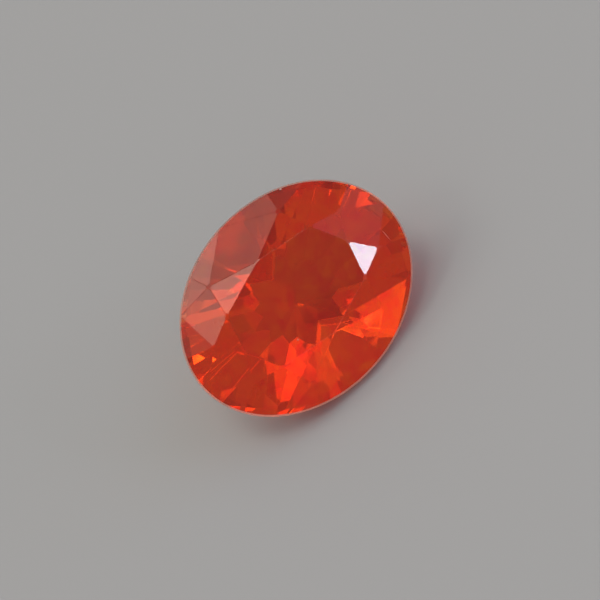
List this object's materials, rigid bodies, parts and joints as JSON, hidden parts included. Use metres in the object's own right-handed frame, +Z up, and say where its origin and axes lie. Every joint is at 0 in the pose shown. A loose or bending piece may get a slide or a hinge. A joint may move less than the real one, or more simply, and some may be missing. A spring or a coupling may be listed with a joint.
{
  "type": "fire opal",
  "caption": "Loose faceted fire opal: a see-through orange-red oval gemstone with a flat table, a brilliant crown and a stepped, pointed pavilion.",
  "frame": {"origin": "middle of the stone's bounding box at its base, on the surface it rests on", "axes": "+Z up, away from that surface; +X along the stone's long axis, which lies level; the table leans toward -Y"},
  "size_m": [0.01, 0.006, 0.0061],
  "materials": {
    "fire_opal": "polished, see-through orange-red opal with a faint haze"
  },
  "bodies": {
    "root": {"fire_opal": "fire_opal"}
  },
  "joints": []
}
